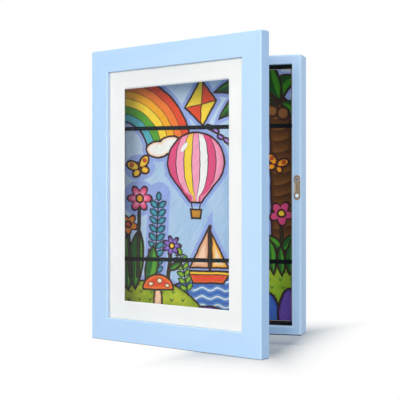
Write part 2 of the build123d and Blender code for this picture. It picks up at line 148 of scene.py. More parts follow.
def noise(point, scale, detail=2.0, rough=0.5, bend=0.0, output="Fac"):
    return beside([point], "ShaderNodeTexNoise", {
        "Vector": point, "Scale": scale, "Detail": detail, "Roughness": rough, "Distortion": bend,
    })[output]


def mapped(point, location=(0, 0, 0), turn=(0, 0, 0), scale=(1, 1, 1), way="POINT"):
    return beside([point], "ShaderNodeMapping", {
        "Vector": point, "Location": location, "Rotation": turn, "Scale": scale,
    }, vector_type=way)[0]


origin, black = (0.0, 0.0, 0.0), (0.0, 0.0, 0.0, 1.0)


def nodeGroup(name, inputs, outputs):
    # makes a node group of the function below it; each socket by its name and its default value:
    # a number, a vector of three or a colour of four
    def build(fill):
        tree = bpy.data.node_groups.new(name, "ShaderNodeTree")
        for way, sockets in (("INPUT", inputs), ("OUTPUT", outputs)):
            for label, value in sockets.items():
                size = len(value) if isinstance(value, tuple) else 1
                kind = {1: "NodeSocketFloat", 3: "NodeSocketVector", 4: "NodeSocketColor"}[size]
                socket = tree.interface.new_socket(name=label, in_out=way, socket_type=kind)
                socket.default_value = value
        start, end = tree.nodes.new("NodeGroupInput"), tree.nodes.new("NodeGroupOutput")
        fill(start.outputs, end.inputs)
        return tree
    return build


def grouped(group, inputs):
    return beside(inputs.values(), "ShaderNodeGroup", inputs, node_tree=group)


def newMaterial(name, gloss=0.5, **plain):
    # plain holds the shader's other values that are the same all over
    material = bpy.data.materials.new(name)
    material.use_nodes = True
    made = material.node_tree.nodes
    shader = made["Principled BSDF"]
    for key, value in {"Specular IOR Level": gloss, **plain}.items():
        shader.inputs[key].default_value = value
    return material, shader, made.new("ShaderNodeTexCoord").outputs["Object"]


def surfaced(shader, colour, rough, height, depth, strength):
    inputs = {"Height": height, "Strength": strength, "Distance": depth}
    bump = beside([height], "ShaderNodeBump", inputs)[0]
    for label, value in (("Base Color", colour), ("Roughness", rough), ("Normal", bump)):
        join(value, shader.inputs[label])


def mixShaders(tree, factor, first, second, output="Material Output"):
    mixed = add(tree, "ShaderNodeMixShader", {0: factor, 1: first.outputs[0], 2: second.outputs[0]})
    join(mixed.outputs[0], tree.nodes[output].inputs["Surface"])


# Shared effects, each a node group built once

textures = {
    # a noise's scale, detail, roughness and distortion
    "patches": (60.0, 3.0),
    "lines": (900.0, 3.0, 0.6),
    "broad": (55.0, 3.0, 0.55, 0.4),
    "pores": (1900.0, 2.0),
    "marks": (420.0, 4.0, 0.6),
    "floor": (400.0, 3.0),
}


@nodeGroup("Frame edges", {
    "Point": origin, "Outer": origin, "Inner": origin, "Front": 0.0, "Width": 0.0012,
    "Patches": 0.5, "Lip": 0.005, "Foot": 0.001,
}, {"Wear": 0.0, "InnerShade": 0.0, "FootShade": 0.0})
def frameEdges(start, end):
    # worn front arrises that also carry a painted highlight, painted shade on the inner faces past
    # a lip, and a painted shade line on the edge that the frame stands on
    point, soft, fine = start["Point"], 0.0005, 0.0002
    spread = vectors("MULTIPLY", vectors("ABSOLUTE", point), (1, 0, 1))
    depth = minus(part(point, 1), start["Front"])
    reaches, masks = [], []
    for label in ("Outer", "Inner"):
        beyond = apart(spread, start[label])
        reach = most(part(beyond, 0), part(beyond, 2))
        away = most(absolute(reach), depth)
        masks.append(clamped(minus(1.0, over(away, start["Width"]))))
        reaches.append(reach)
    patchy = span(noise(point, *textures["patches"]), 0.35, 0.65)
    kept = minus(1.0, times(start["Patches"], patchy))
    join(times(most(*masks), kept), end["Wear"])
    # inner faces past the lip: where the shade inside the case is painted
    past = span(minus(depth, start["Lip"]), -soft, soft)
    join(least(span(reaches[1], soft, fine), past), end["InnerShade"])
    # a painted shade line a hair above the lowest edge, where the frame meets what it stands on
    rise = plus(part(point, 2), part(start["Outer"], 2))
    below = span(over(rise, start["Foot"]), 1.0, 0.6)
    join(least(span(rise, fine / 2, fine), below), end["FootShade"])


@nodeGroup("Brushed paint", {
    "Point": origin, "Pores": 0.3, "Lines": 1.0,
}, {"Tone": 0.0, "Height": 0.0})
def brushedPaint(start, end):
    # faint brush lines and pores under a satin coat, along the point's Z
    lines, broad, pores = [
        noise(mapped(start["Point"], scale=(1, 1, stretch)), *textures[name])
        for name, stretch in (("lines", 0.035), ("broad", 0.12), ("pores", 0.2))
    ]
    pores = span(pores, 0.62, 0.8)
    height = minus(times(lines, start["Lines"]), times(pores, start["Pores"]))
    join(plus(times(broad, 0.7), times(lines, 0.3)), end["Tone"])
    join(height, end["Height"])


@nodeGroup("Paper fibre", {
    "Point": origin, "Size": 1200.0, "Cloud": 25.0,
}, {"Tone": 0.0, "Height": 0.0})
def paperFibre(start, end):
    # pulp fibres and tooth of paper, card and board
    point, size = start["Point"], start["Size"]
    tooth = noise(point, size, 4.0, 0.65)
    cloud = noise(point, start["Cloud"], 3.0)
    strands = beside([point], "ShaderNodeTexVoronoi", {"Vector": point, "Scale": times(size, 0.4)},
                     feature="DISTANCE_TO_EDGE")["Distance"]
    join(cloud, end["Tone"])
    join(plus(tooth, times(strands, 0.3)), end["Height"])


@nodeGroup("Metal finish", {
    "Point": origin, "Edge": 0.0004, "Lines": 3000.0,
}, {"Wear": 0.0, "Streaks": 0.0, "Marks": 0.0})
def metalFinish(start, end):
    # brushed lines, handling marks and bright worn edges of small fittings
    edge = start["Edge"]
    soft = beside([edge], "ShaderNodeBevel", {"Radius": edge}, samples=4)[0]
    true = beside([edge], "ShaderNodeNewGeometry", {})["True Normal"]
    away = minus(1.0, dot(soft, true))
    marks = noise(start["Point"], *textures["marks"])
    wear = times(span(away, 0.02, 0.25), span(marks, 0.3, 0.6))
    streaks = noise(mapped(start["Point"], scale=(1, 1, 0.03)), start["Lines"])
    for value, label in ((wear, "Wear"), (streaks, "Streaks"), (marks, "Marks")):
        join(value, end[label])


# Painted wood of the case and the door

paintLook = {
    "paint": tone(185, 213, 240),
    "pale": tone(191, 218, 243),
    # paler paint on worn arrises, which is also a painted highlight along them
    "rubbedHighlight": tone(222, 242, 255),
    # near black on the case's inner faces past its lip: painted shade
    "innerShade": tone(18, 19, 21),
    # dark blue along the foot: a painted shade line
    "mark": tone(36, 56, 80),
    "roughness": (0.36, 0.5),
    "innerShadeRoughness": 0.75,
    "gloss": 0.4,
    "bump": (0.00003, 0.35),
}
doorMiddle = (-0.01129, -0.0800, 0.0)
doorTurn = (0, 0, math.radians(-24.5))
doorPlace = Matrix.Translation(doorMiddle) @ Matrix.Rotation(doorTurn[2], 4, "Z")


def doorBox(node):
    # a door piece's box in the door's own axes
    corners = [doorPlace.inverted() @ vertex.co for vertex in nodes[node].data.vertices]
    return [Vector([pick(corner[axis] for corner in corners) for axis in range(3)])
            for pick in (min, max)]


caseOutline = {
    # what Frame edges reads, and how much of the painted shade inside the case shows
    "edges": {"Outer": (0.121, 0, 0.1635), "Inner": (0.110, 0, 0.1525), "Width": 0.0026,
              "Front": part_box("case_top_wall")[0].y, "Patches": 0.1, "Foot": 0.0016},
    "innerShaded": 1.0,
}
doorOutline = {
    "edges": {"Outer": (0.1325, 0, 0.175), "Inner": (0.1055, 0, 0.148), "Width": 0.0011,
              "Front": doorBox("door_top_rail")[0].y, "Patches": 0.5, "Foot": 0.0008},
    "innerShaded": 0.0,
}


def paintedWood(name, outline, flatRail, onDoor):
    material, shader, point = newMaterial(name, paintLook["gloss"])
    if onDoor:
        point = mapped(point, location=doorMiddle, turn=doorTurn, way="TEXTURE")
    along = mapped(point, turn=(0, math.radians(90), 0)) if flatRail else point
    paint = grouped(brushedPaint, {"Point": along})
    edges = grouped(frameEdges, {"Point": point, **outline["edges"]})
    mottle = span(paint["Tone"], 0.3, 0.7)
    colour = blendColours(mottle, paintLook["paint"], paintLook["pale"])
    # paler arrises, partly wear and partly a painted highlight, then a painted shade line along the
    # foot
    for mask, other in (("Wear", "rubbedHighlight"), ("FootShade", "mark")):
        colour = blendColours(edges[mask], colour, paintLook[other])
    # the case's inner faces past the lip are painted near black, a painted shade inside the box
    innerShaded = times(edges["InnerShade"], outline["innerShaded"])
    colour = blendColours(innerShaded, colour, paintLook["innerShade"])
    satin = span(paint["Tone"], 0.3, 0.7, *paintLook["roughness"])
    rough = most(satin, times(innerShaded, paintLook["innerShadeRoughness"]))
    surfaced(shader, colour, rough, paint["Height"], *paintLook["bump"])
    return material


# Card, board and paper

boardLooks = {
    # name, dark and light colour, scale of the tooth and of the clouding, depth, roughness
    "hardboard": ("Hardboard", (112, 78, 50), (140, 100, 66), 900.0, 40.0, 0.00006, 0.5),
    "blackBoard": ("Black foam board", (22, 23, 26), (38, 40, 44), 1400.0, 30.0, 0.00004, 0.7),
    "matCard": ("Mat card", (240, 235, 228), (245, 240, 232), 1500.0, 18.0, 0.00005, 0.78),
    "paper": ("Spare paper", (206, 198, 184), (216, 210, 198), 1500.0, 25.0, 0.00004, 0.8),
}


def fibreBoard(name, dark, light, tooth, cloud, depth, rough):
    material, shader, point = newMaterial(name, 0.3)
    fibre = grouped(paperFibre, {"Point": point, "Size": tooth, "Cloud": cloud})
    colour = blendColours(span(fibre["Tone"], 0.3, 0.7), tone(*dark), tone(*light))
    flecks = times(span(fibre["Height"], 0.5, 0.75), 0.35)
    colour = blendColours(flecks, colour, tone(*light))
    rough = span(fibre["Height"], 0.4, 0.8, rough, rough + 0.12)
    surfaced(shader, colour, rough, fibre["Height"], depth, 0.5)
    return material


# Metal, plastic and rubber of the fittings

catchLook = {
    # painted light on the keeper and its screws, a highlight strip, a shaded screw hollow and a
    # glint: half width and height, tone, place on the case's front, diamond or block
    "paintedSheen": ((0.0010, 0.0065), tone(186, 172, 154), (0.1132, 0.0085), False),
    "recess": ((0.0014, 0.0014), tone(16, 40, 58), (0.1161, 0.01775), True),
    "bright": ((0.003, 0.003), tone(236, 250, 255), (0.1161, -0.00075), False),
}
fittingLooks = {
    # name, colour, worn colour, metallic, roughness, how far the wear reaches from an arris,
    # then its marks of painted light and the depth of the bumps where they are of its own
    "blackScrew": ("Black screws", (24, 25, 28), (96, 98, 104), 0.6, 0.36, 0.0002),
    "plated": ("Plated steel", (178, 180, 184), (226, 228, 230), 1.0, 0.3, 0.0003),
    "bronzed": ("Bronzed steel", (138, 120, 100), (206, 188, 160), 0.6, 0.34, 0.0006, ["paintedSheen"]),
    "catchScrew": ("Catch screws", (168, 168, 166), (226, 228, 230), 0.35, 0.3, 0.0003,
                   ["recess", "bright"]),
    "hinge": ("Hinge steel", (150, 148, 142), (214, 212, 206), 1.0, 0.32, 0.0004),
    "rivet": ("Rivet", (168, 166, 160), (220, 218, 212), 1.0, 0.34, 0.0002),
    "magnet": ("Magnet", (150, 152, 156), (214, 216, 220), 1.0, 0.24, 0.0003),
    "bumper": ("Clear rubber", (206, 210, 212), (226, 228, 230), 0.0, 0.28, 0.0003, [], 0.00001),
    "nail": ("Nails", (120, 122, 126), (200, 202, 206), 1.0, 0.4, 0.0002),
}


def spotted(point, colour, mark):
    # a block or a diamond of another colour on a face seen from the front: a painted highlight or
    # painted shade
    (wide, tall), other, (x, z), diamond = catchLook[mark]
    away = vectors("ABSOLUTE", apart(point, (x, 0, z)))
    across = over(part(away, 0), wide)
    upward = over(part(away, 2), tall)
    reach = (plus if diamond else most)(across, upward)
    return blendColours(span(reach, 1.15, 0.85), colour, other)


def fitting(name, colour, worn, metal, rough, edge, marks=(), depth=0.00002):
    material, shader, point = newMaterial(name, Metallic=metal)
    finish = grouped(metalFinish, {"Point": point, "Edge": edge})
    light = tone(*colour)
    dark = tuple(value * 0.72 for value in light[:3]) + (1.0,)
    colour = blendColours(span(finish["Marks"], 0.35, 0.7), light, dark)
    colour = blendColours(finish["Wear"], colour, tone(*worn))
    for mark in marks:
        colour = spotted(point, colour, mark)
    rough = span(finish["Streaks"], 0.2, 0.8, rough - 0.07, rough + 0.1)
    height = plus(finish["Streaks"], times(finish["Marks"], 0.6))
    surfaced(shader, colour, rough, height, depth, 0.4)
    return material


# Clear acrylic in the door

acrylicLook = {
    "clear": tone(253, 254, 255),
    "smeared": tone(248, 252, 253),
    "smears": (9.0, 4.0, 0.6, 1.5),  # scale, detail, roughness, distortion
    "plain": {"Roughness": 0.0, "IOR": 1.2, "Transmission Weight": 1.0},
}


def clearAcrylic():
    material, shader, point = newMaterial("Clear acrylic", **acrylicLook["plain"])
    smears = span(noise(point, *acrylicLook["smears"]), 0.35, 0.7)
    tint = blendColours(smears, acrylicLook["clear"], acrylicLook["smeared"])
    join(tint, shader.inputs["Base Color"])
    tree = material.node_tree
    path = add(tree, "ShaderNodeLightPath").outputs
    through = most(path["Is Shadow Ray"], path["Is Diffuse Ray"])
    mixShaders(tree, through, shader, add(tree, "ShaderNodeBsdfTransparent"))
    return material


# Woven elastic: lengthwise ribs and crosswise picks

bandLook = {
    "yarn": tone(4, 10, 13),
    "paintedSheen": tone(12, 22, 26),
    "gloss": 0.12,
    "roughness": (0.62, 0.85),
    "bump": (0.00008, 0.2),
    "fuzz": (4000.0, 3.0),
    "thickness": 0.001,
    "ribs": 7,
    "ribDepth": 0.00009,
    "pick": 0.00055,
    "selvedge": 0.3,
    "foldRadius": 0.0012,
    "foldSteps": 6,
    "edgeSteps": 4,
}


def wovenElastic(name, middle, height):
    material, shader, point = newMaterial(name, bandLook["gloss"])
    along = plus(part(point, 0), part(point, 1))
    upward = minus(part(point, 2), middle)
    across = over(upward, height / bandLook["ribs"])
    rib = absolute(maths("COSINE", times(across, math.pi)))
    shifted = plus(over(along, bandLook["pick"]), times(maths("ROUND", across), 0.5))
    pick = absolute(sine(times(shifted, math.pi)))
    weave = times(rib, pick)
    fuzz = noise(point, *bandLook["fuzz"])
    # the raised ribs and picks are painted lighter, a painted highlight on the weave, over fuzz
    # that varies the yarn's tone at random
    light = plus(times(weave, 0.6), times(fuzz, 0.4))
    colour = blendColours(span(light, 0.25, 0.95), bandLook["yarn"], bandLook["paintedSheen"])
    rough = span(fuzz, 0.3, 0.7, *bandLook["roughness"])
    surfaced(shader, colour, rough, plus(weave, times(fuzz, 0.2)), *bandLook["bump"])
    return material


# Marker drawing: shape groups give a distance in millimetres, the fill group lays a shape on top

markerPens = {
    "line": (46, 24, 16), "haze": (142, 156, 222), "sky": (182, 208, 230),
    "skyDeep": (164, 194, 224), "skyPale": (212, 230, 242), "lime": (188, 200, 44),
    "olive": (148, 172, 30), "leaf": (86, 160, 40), "forest": (34, 96, 36), "red": (232, 74, 36),
    "orange": (246, 124, 44), "amber": (248, 172, 26), "yellow": (252, 214, 56),
    "pink": (250, 160, 184), "rose": (226, 76, 122), "peach": (252, 210, 176),
    "tan": (230, 164, 118), "purple": (172, 132, 214), "violet": (112, 78, 170),
    "denim": (110, 160, 206), "blue": (62, 104, 184), "teal": (84, 172, 184),
    "deepTeal": (34, 112, 134), "brown": (142, 90, 44), "bark": (96, 56, 26),
    # trunk, frond, navy and plum are darker pens for the motifs on the right: painted shade for the
    # side in the door's shadow
    "white": (248, 244, 236), "cream": (250, 228, 190), "trunk": (126, 76, 30),
    "trunkDeep": (84, 46, 16), "frond": (62, 134, 24), "frondDeep": (24, 74, 24),
    "navy": (36, 62, 134), "plum": (80, 52, 116),
}
markerColours = {name: tone(*shade) for name, shade in markerPens.items()}
markerLook = {
    "shake": 0.09,  # scale of the hand's wobble
    "drift": 2.4,  # and how far it goes, in millimetres
    "hair": 0.0007,
    "wash": (0.05, 3.0),
    "mottle": (0.045, 3.0),
    "strokes": (0.5, 3.0, 0.6),
    "specks": 0.017,
    "fibre": {"Size": 1500.0, "Cloud": 30.0},
    "haloEdge": (5.8, 4.6),
    "haloWeight": 0.75,
    # a painted lift of light: the sky is painted paler toward the top and the left, against the
    # shade the door and mat cast there
    "shadeLift": ((60.0, 125.0), (-62.0, -104.0)),  # where the sky pales, upward and to the left
    "bump": (0.00004, 0.4),
    "gloss": 0.25,
}


def pen(colour):
    # a colour given by the name of its pen, or as it is
    return markerColours[colour] if isinstance(colour, str) else colour


def inked(factor, first, second):
    return blendColours(factor, pen(first), pen(second))


@nodeGroup("Round shape", {
    "Point": origin, "Centre": origin, "Radii": (1, 1, 1), "Heading": (1, 0, 0),
}, {"Distance": 0.0})
def roundShape(start, end):
    local = apart(start["Point"], start["Centre"])
    along = dot(local, start["Heading"])
    across = dot(local, vectors("CROSS_PRODUCT", (0, 0, 1), start["Heading"]))
    once = vectors("DIVIDE", pair(along, across), start["Radii"])
    length = lengthOf(once)
    steep = most(lengthOf(vectors("DIVIDE", once, start["Radii"])), 0.0001)
    join(over(times(length, minus(length, 1.0)), steep), end["Distance"])


@nodeGroup("Stroke shape", {
    "Point": origin, "Start": origin, "End": (1, 0, 0), "Start Radius": 1.0,
    "End Radius": 1.0,
}, {"Distance": 0.0})
def strokeShape(start, end):
    run = apart(start["End"], start["Start"])
    local = apart(start["Point"], start["Start"])
    share = clamped(over(dot(local, run), dot(run, run)))
    scaled = beside([run], "ShaderNodeVectorMath", {0: run, "Scale": share}, operation="SCALE")[0]
    radii = {0: share, 2: start["Start Radius"], 3: start["End Radius"]}
    radius = beside([share], "ShaderNodeMix", radii)[0]
    join(minus(distanceOf(local, scaled), radius), end["Distance"])


@nodeGroup("Petal shape", {
    "Point": origin, "Centre": origin, "Radius": 8.0, "Depth": 3.0, "Count": 5.0,
    "Turn": 0.0,
}, {"Distance": 0.0})
def petalShape(start, end):
    local = apart(start["Point"], start["Centre"])
    angle = maths("ARCTAN2", part(local, 1), part(local, 0))
    turned = times(plus(angle, start["Turn"]), times(start["Count"], 0.5))
    wave = absolute(maths("COSINE", turned))
    reach = plus(start["Radius"], times(start["Depth"], wave))
    join(times(minus(lengthOf(local), reach), 0.85), end["Distance"])


@nodeGroup("Leaf shape", {
    "Point": origin, "Start": origin, "End": (1, 0, 0), "Width": 4.0, "Bend": 0.0,
}, {"Distance": 0.0, "Side": 0.0})
def leafShape(start, end):
    # a pointed leaf between two tips, with the side of its rib
    run = apart(start["End"], start["Start"])
    local = apart(start["Point"], start["Start"])
    length = lengthOf(run)
    unit = vectors("NORMALIZE", run)
    half = times(length, 0.5)
    forward = minus(dot(local, unit), half)
    crossed = dot(local, vectors("CROSS_PRODUCT", (0, 0, 1), unit))
    near = over(forward, half)
    bow = times(start["Bend"], minus(1.0, times(near, near)))
    side = minus(crossed, bow)
    width = start["Width"]
    squares = plus(times(half, half), times(width, width))
    radius = over(squares, times(width, 2.0))
    lifted = plus(absolute(side), minus(radius, width))
    arc = lengthOf(pair(forward, lifted))
    join(minus(arc, radius), end["Distance"])
    join(side, end["Side"])


@nodeGroup("Marker fill", {
    "Under": black, "Distance": 0.0, "Fill": black, "Shade": black, "Line": 0.8,
    "Depth": 4.5,
}, {"Colour": black})
def markerFill(start, end):
    away, soft = start["Distance"], 0.3
    deep = slope(over(away, start["Depth"]), -1.0, -0.35)
    fill = blendColours(deep, start["Fill"], start["Shade"])
    colour = blendColours(slope(away, soft, -soft), start["Under"], fill)
    line = slope(minus(absolute(away), start["Line"]), soft, -soft)
    join(inked(line, colour, "line"), end["Colour"])


def flat(x, y):
    return (x, y, 0.0)


def around(centre, size, points):
    # corners given in shares of a size from a centre
    return [(centre[0] + x * size, centre[1] + y * size) for x, y in points]


class Drawing:
    # lays marker shapes one over another on a sheet, in millimetres from its middle
    def __init__(self, point, ground, mottle):
        self.point, self.colour, self.mottle, self.shapes = point, ground, mottle, 0

    def spot(self, x, y):
        # moved by a hair, as Cycles merges equal nodes and a long shader then fills its stack
        self.shapes += 1
        return flat(x + self.shapes * markerLook["hair"], y)

    def turned(self, x, y, degrees):
        # across and upward in axes set at a place and turned
        local = apart(self.point, self.spot(x, y))
        sin, cos = math.sin(math.radians(degrees)), math.cos(math.radians(degrees))
        return dot(local, flat(cos, sin)), dot(local, flat(-sin, cos))

    def lay(self, distance, fill, shade=None, line=1.2, depth=4.5):
        self.colour = grouped(markerFill, {
            "Under": self.colour, "Distance": distance, "Fill": pen(fill),
            "Shade": pen(fill if shade is None else shade), "Line": line, "Depth": depth,
        })["Colour"]

    def outlineSky(self, *distances):
        # a soft band of a second pen round everything that stands against the sky
        near = distances[0]
        for other in distances[1:]:
            near = least(near, other)
        band = times(clamped(slope(near, *markerLook["haloEdge"])), markerLook["haloWeight"])
        self.colour = inked(band, self.colour, "haze")

    def round(self, x, y, rx, ry, turn=0.0, point=None):
        turn = math.radians(turn)
        return grouped(roundShape, {
            "Point": point or self.point, "Centre": self.spot(x, y), "Radii": (rx, ry, 1.0),
            "Heading": flat(math.cos(turn), math.sin(turn)),
        })["Distance"]

    def stroke(self, first, last, r1, r2=None, point=None):
        return grouped(strokeShape, {
            "Point": point or self.point, "Start": self.spot(*first), "End": flat(*last),
            "Start Radius": r1, "End Radius": r1 if r2 is None else r2,
        })["Distance"]

    def petals(self, x, y, radius, depth, count, turn):
        return grouped(petalShape, {
            "Point": self.point, "Centre": self.spot(x, y), "Radius": radius, "Depth": depth,
            "Count": float(count), "Turn": math.radians(turn),
        })["Distance"]

    def leaf(self, first, last, width, bend=0.0, point=None):
        outputs = grouped(leafShape, {
            "Point": point or self.point, "Start": self.spot(*first), "End": flat(*last),
            "Width": width, "Bend": bend,
        })
        return outputs["Distance"], outputs["Side"]

    def sided(self, side, first, second):
        return inked(slope(side, -0.25, 0.25), first, second)

    def corners(self, *points):
        # a convex outline, its corners given clockwise
        away = None
        for first, last in zip(points, points[1:] + points[:1]):
            run = Vector(last) - Vector(first)
            out = Vector((-run.y, run.x)).normalized()
            side = minus(dot(self.point, flat(*out)), out.dot(Vector(first)))
            away = side if away is None else most(away, side)
        return away

    def merged(self, *distances):
        away = distances[0]
        for other in distances[1:]:
            away = maths("SMOOTH_MIN", away, other, 1.5)
        return away


pictureLook = {
    # rough places of what else the halo goes round
    "halo": {"flower": (-86, -4, 17, 17), "sprig": ((-66, -96), (-60, 2), 9.0),
             "butterfly": (-86, 34, 15, 11)},
    "rainbow": {"centre": (-114, 54), "inner": 38, "width": 9.5,
                "names": ["teal", "leaf", "yellow", "amber", "orange", "red"]},
    "cloud": [(-62, 56, 15, 10), (-45, 61, 15, 11), (-28, 55, 13, 9)],
    "kite": {"corners": [(-27, 106), (-7, 141), (13, 114), (-4, 84)], "cross": (-6, 110),
             "lean": (-0.06, -0.22), "tail": ((-4, 86), (30, 60)), "swing": (0.25, 2.5),
             # a bow's place, then how far a loop's middle is off, its radii and turn
             "bows": [(8, 80), (22, 68)], "bow": (4, 2, 4.4, 2.8, -30)},
    "balloon": {"centre": (-13, 40), "radius": 36,
                "names": ["rose", "pink", "yellow", "pink", "white", "rose", "pink"],
                "wicker": 2.2,
                # shares of the radius from the centre; the stripes meet at the poles
                "pole": 1.18,
                "skirt": [(-0.86, -0.5), (0.86, -0.5), (0.2, -1.36), (-0.2, -1.36)],
                "rope": [(0.17, -1.3), (0.13, -1.6)], "shine": (-0.42, 0.5, 0.07, 0.19),
                "basket": [(-0.19, -1.6), (0.19, -1.6), (0.15, -1.9), (-0.15, -1.9)]},
    "trunk": ((98, -92), (91, 104), 16.0, 12.0),
    "bark": {"ring": 13.0, "bow": (0.16, 2.2)},
    "fronds": [((90, 108), (16, 92), 11, -14), ((90, 110), (10, 124), 11, -14),
               ((90, 112), (36, 150), 10, -8), ((90, 108), (52, 72), 9, -8),
               ((92, 110), (116, 82), 9, 8), ((92, 112), (116, 140), 9, 10),
               ((92, 112), (80, 156), 9, 3)],
    "nuts": [(82, 100, 7), (95, 97, 7.5)],
    "bigLeaves": [((-101, -118), (-104, -50), 9, 0), ((-92, -116), (-86, -42), 10, 2),
                  ((-76, -114), (-68, -62), 8, -2)],
    # centre, radius, petals, turn, colours of petals and heart, foot, leaves
    "flowers": [
        ((-86, -4), 16, 6, 0, "pink", "rose", "amber", (-88, -100), []),
        ((-101, -36), 13, 5, 20, "amber", "orange", "red", (-98, -100), []),
        ((-44, -62), 12, 7, 0, "purple", "violet", "yellow", (-50, -110),
         [((-48, -92), (-32, -82), 4, 0)]),
        ((93, -22), 15, 5, 12, "rose", "rose", "yellow", (94, -84),
         [((94, -66), (76, -48), 6, 0), ((94, -66), (110, -46), 6, 0)]),
    ],
    # foot, turn, length, reach of the leaves, spacing, colours
    "sprigs": [((-66, -96), -3, 90, 10.0, 10.0, "teal", "deepTeal"),
               ((-24, -116), 12, 44, 8.0, 8.5, "lime", "leaf")],
    "butterflies": [(-86, 34, 15, 18, "yellow", "amber", "red"),
                    (87, 36, 13, -20, "amber", "orange", "red")],
    # one half of a butterfly, in shares of its size: place, radii and turn, ends of its body
    "wings": [(0.52, 0.34, 0.56, 0.36, 38), (0.38, -0.34, 0.36, 0.3, -30)],
    "eye": (0.6, 0.42, 0.16, 0.16),
    "bodyEnds": (-0.42, 0.45),
    "sea": {"round": (20, -240, 150, 142), "level": 97.0, "bow": (0.32, 1.6), "crests": 0.62},
    "sails": [([(3, -40), (3, -88), (-21, -88)], "peach", "tan"),
              ([(7, -46), (28, -88), (7, -88)], "cream", "amber")],
    "mast": ((5, -94), (5, -38), 0.9),
    "hull": [(-24, -92), (31, -92), (22, -107), (-16, -107)],
    "gunwale": [(-23.4, -93), (30.4, -93), (28.6, -96.5), (-21.4, -96.5)],
    # each hill's place and radii, then how much darker it is painted, a painted shade on the right
    "hills": [(-70, -222, 92, 118, 0.0), (104, -168, 62, 88, 0.4)],
    "grass": {"row": 9.5, "step": 14.0, "shift": (2.3, 7.0), "foot": 3.4,
              "blade": ((0.3, 0), (2.2, 2.9), 0.75, 0.3)},
    "stones": [(0, -148, 24, 13, 6, "purple", "violet"), (24, -152, 18, 12, -10, "denim", "blue"),
               (80, -140, 11, 24, 8, "blue", "navy"), (101, -138, 12, 28, -6, "violet", "plum")],
    "footLeaves": [((84, -94), (79, -52), 6, 0), ((103, -94), (105, -54), 6, 0),
                   ((94, -96), (92, -60), 5, 0)],
    "mushroom": {"cap": (-62, -115, 20, 17), "rim": -116.0,
                 "stem": ((-62, -134), (-62, -116), 5.5, 4.2),
                 "spots": [(-71, -109, 2.8), (-60, -105, 3.4), (-50, -111, 2.6)]},
}


def striped(share, names, soft=0.05):
    # flat stripes, one to each whole number of share
    colour = names[0]
    for place, name in enumerate(names[1:], 1):
        colour = inked(slope(share, place - soft, place + soft), colour, name)
    return colour


def stripeLines(share, width, colour, low, high):
    near = absolute(minus(share, maths("ROUND", share)))
    return inked(slope(times(near, width), high, low), colour, "line")


def rainbowShape(art):
    look = pictureLook["rainbow"]
    x, y = look["centre"]
    radius = distanceOf(art.point, flat(x, y))
    outer = look["inner"] + look["width"] * len(look["names"])
    away = most(minus(radius, outer), minus(look["inner"], radius))
    return most(away, minus(y, part(art.point, 1))), radius


def layRainbow(art, away, radius):
    look = pictureLook["rainbow"]
    share = over(minus(radius, look["inner"]), look["width"])
    colour = striped(share, look["names"], 0.06)
    colour = stripeLines(share, look["width"], colour, 0.2, 0.55)
    art.lay(away, colour)


def balloonShape(art):
    look = pictureLook["balloon"]
    centre, radius = look["centre"], look["radius"]
    skirt = art.corners(*around(centre, radius, look["skirt"]))
    return least(art.round(*centre, radius, radius), skirt)


def layBalloon(art, away):
    look = pictureLook["balloon"]
    centre, radius, names = look["centre"], look["radius"], look["names"]
    across, upward = art.turned(*centre, 0)
    for side in (-1, 1):
        rope = around(centre, radius, [(x * side, y) for x, y in look["rope"]])
        art.lay(art.stroke(*rope, 0.3), "bark", line=0.5)
    level = over(upward, radius * look["pole"])
    wide = maths("SQRT", most(minus(1.0, times(level, level)), 0.05))
    half = len(names) / 2
    share = timesPlus(over(across, wide), half / radius, half)
    colour = stripeLines(share, radius / half, striped(share, names), 0.35, 0.75)
    art.lay(away, colour, inked(0.3, colour, "rose"), depth=7.0)
    x, y, rx, ry = look["shine"]
    (place,) = around(centre, radius, [(x, y)])
    art.lay(art.round(*place, radius * rx, radius * ry, -35), "white", line=0.0)
    weave = times(*[sine(times(way, look["wicker"])) for way in (across, upward)])
    wicker = inked(slope(weave, -0.3, 0.3), "amber", "brown")
    art.lay(art.corners(*around(centre, radius, look["basket"])), wicker)


def wave(value, tight, reach):
    return times(sine(times(value, tight)), reach)


def layKite(art, away):
    look = pictureLook["kite"]
    across, upward = art.turned(*look["cross"], 0)
    spar = timesPlus(upward, look["lean"][0], across)
    tilt = timesPlus(across, look["lean"][1], upward)
    panels = inked(slope(times(spar, tilt), -2.0, 2.0), "yellow", "red")
    spars = least(absolute(spar), absolute(tilt))
    panels = inked(slope(spars, 0.9, 0.4), panels, "line")
    swung = vectors("ADD", art.point, pair(wave(part(art.point, 1), *look["swing"])))
    art.lay(art.stroke(*look["tail"], 0.25, point=swung), "violet", line=0.5)
    right, down, *loop = look["bow"]
    for x, y in look["bows"]:
        loops = [art.round(x - side * right, y + side * down, *loop) for side in (1, -1)]
        art.lay(least(*loops), "purple", "violet", depth=2.0)
    art.lay(away, panels)


def barkColour(art):
    look = pictureLook["bark"]
    across, upward = part(art.point, 0), part(art.point, 1)
    ring = modulo(plus(upward, wave(across, *look["bow"])), look["ring"])
    bark = inked(slope(ring, 1.5, 11.0), "trunk", "trunkDeep")
    return inked(slope(ring, 1.0, 0.5), bark, "line")


def grassColour(art):
    # lime ground with short V marks in rows
    look = pictureLook["grass"]
    across, upward = part(art.point, 0), part(art.point, 1)
    row = maths("FLOOR", over(upward, look["row"]))
    shifted = plus(across, wave(row, *look["shift"]))
    x = minus(modulo(shifted, look["step"]), look["step"] / 2)
    y = minus(modulo(upward, look["row"]), look["foot"])
    folded = pair(absolute(x), y)
    mark = art.stroke(*look["blade"], point=folded)
    ground = inked(slope(art.mottle, 0.4, 0.62), "lime", "olive")
    return inked(slope(mark, 0.25, -0.2), ground, "forest")


